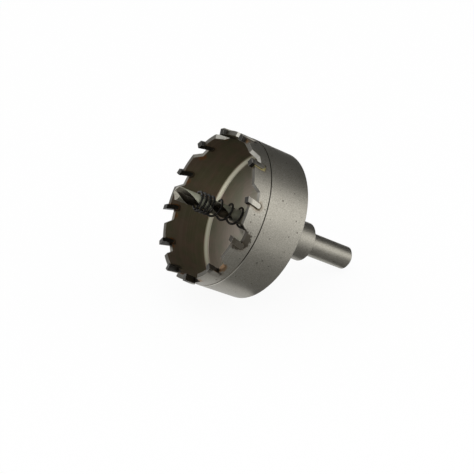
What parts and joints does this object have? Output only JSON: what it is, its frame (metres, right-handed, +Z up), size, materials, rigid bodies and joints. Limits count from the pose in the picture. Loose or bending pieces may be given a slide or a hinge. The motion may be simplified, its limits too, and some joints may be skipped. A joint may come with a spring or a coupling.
{
  "type": "hole saw",
  "caption": "Carbide-tipped hole saw: a thin-walled steel cup with brazed teeth on a round shank, a pilot drill on its axis and a coil spring round the drill that pushes the slug out.",
  "frame": {"origin": "on the surface it lies on, under the middle of its bounding box", "axes": "+Z up, -X the way the open mouth faces, tilted up by the cup's radius over the shank's length, +Y across"},
  "size_m": [0.106, 0.0798, 0.0865],
  "materials": {
    "cup_steel": "satin, fine bead-blasted steel",
    "arbor_steel": "turned and milled steel",
    "drill_steel": "ground high-speed steel with a straw tint",
    "spring_wire": "black oiled spring wire",
    "screw_steel": "black oxide",
    "braze": "dull brass filler with heat tint",
    "carbide": "ground cemented carbide"
  },
  "bodies": {
    "root": {"saw_cup": "cup_steel", "arbor": "arbor_steel", "pilot_drill": "drill_steel", "ejector_spring": "spring_wire", "set_screw": "screw_steel", "tip_braze": "braze", "carbide_tip_01": "carbide", "carbide_tip_02": "carbide", "carbide_tip_03": "carbide", "carbide_tip_04": "carbide", "carbide_tip_05": "carbide", "carbide_tip_06": "carbide", "carbide_tip_07": "carbide", "carbide_tip_08": "carbide", "carbide_tip_09": "carbide", "carbide_tip_10": "carbide", "carbide_tip_11": "carbide", "carbide_tip_12": "carbide"}
  },
  "joints": []
}
